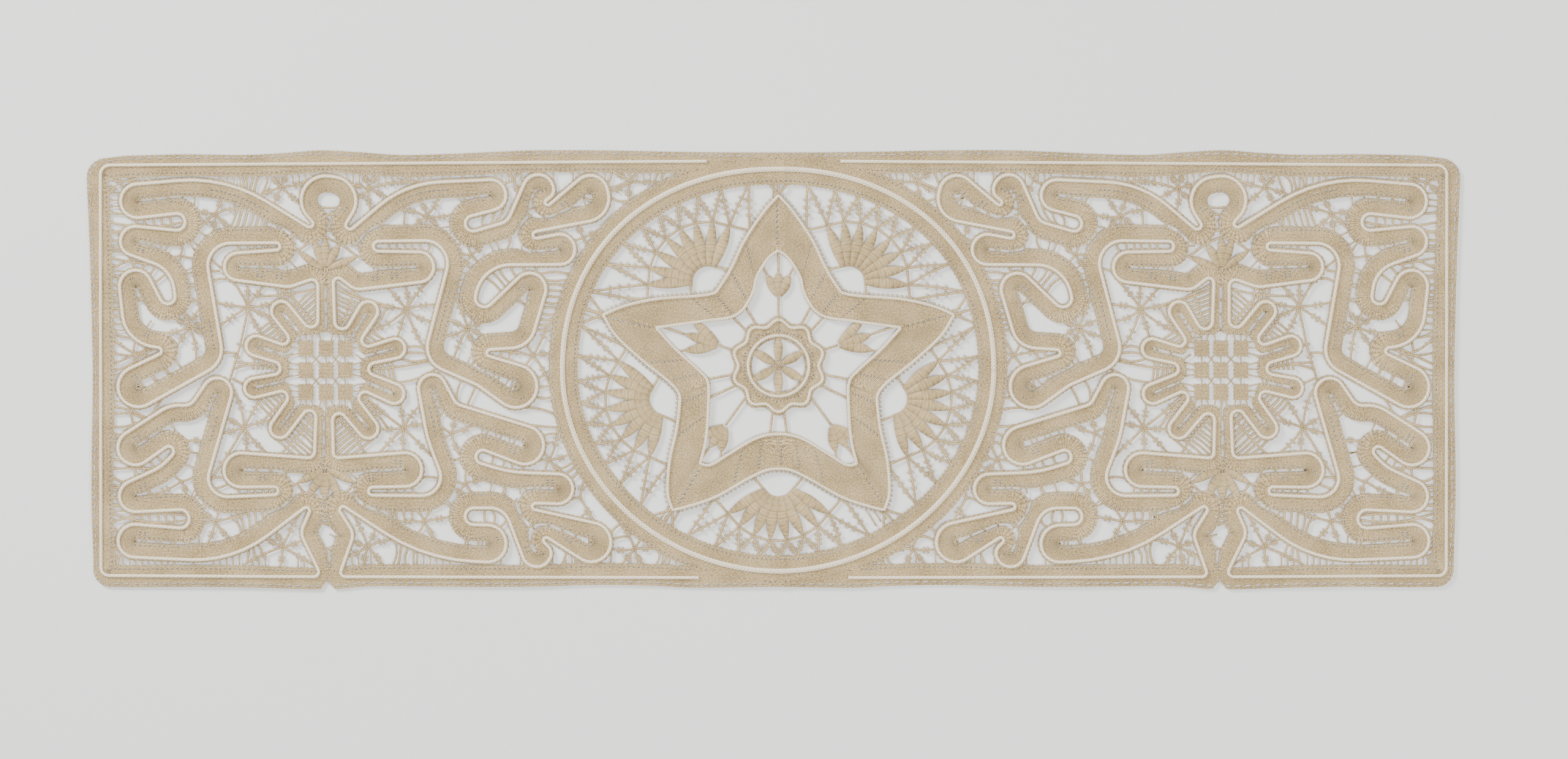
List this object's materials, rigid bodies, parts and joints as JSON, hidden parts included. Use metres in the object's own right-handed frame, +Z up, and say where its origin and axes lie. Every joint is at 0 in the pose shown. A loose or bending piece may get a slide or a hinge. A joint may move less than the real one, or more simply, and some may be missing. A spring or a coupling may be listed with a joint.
{
  "type": "bobbin lace table runner",
  "caption": "Long flat bobbin lace panel, with tape scrolls at both ends and a star in a ring at its middle, for laying over a table or chest.",
  "frame": {"origin": "middle of the underside's bounding box, on the surface that the lace lies on", "axes": "+X along the length, +Y across the width towards the edge without the two notches, +Z up out of the face with the cords"},
  "size_m": [0.6996, 0.2234, 0.0025],
  "materials": {
    "linen_ground": "unbleached linen thread, matt",
    "gimp_cord": "cream linen cord, matt"
  },
  "bodies": {
    "root": {"ground": "linen_ground", "scroll_gimp_left": "gimp_cord", "scroll_gimp_right": "gimp_cord", "ring_gimp": "gimp_cord", "star_gimp_outer": "gimp_cord", "star_gimp_inner": "gimp_cord", "flower_gimp_outer": "gimp_cord", "flower_gimp_inner": "gimp_cord"}
  },
  "joints": []
}
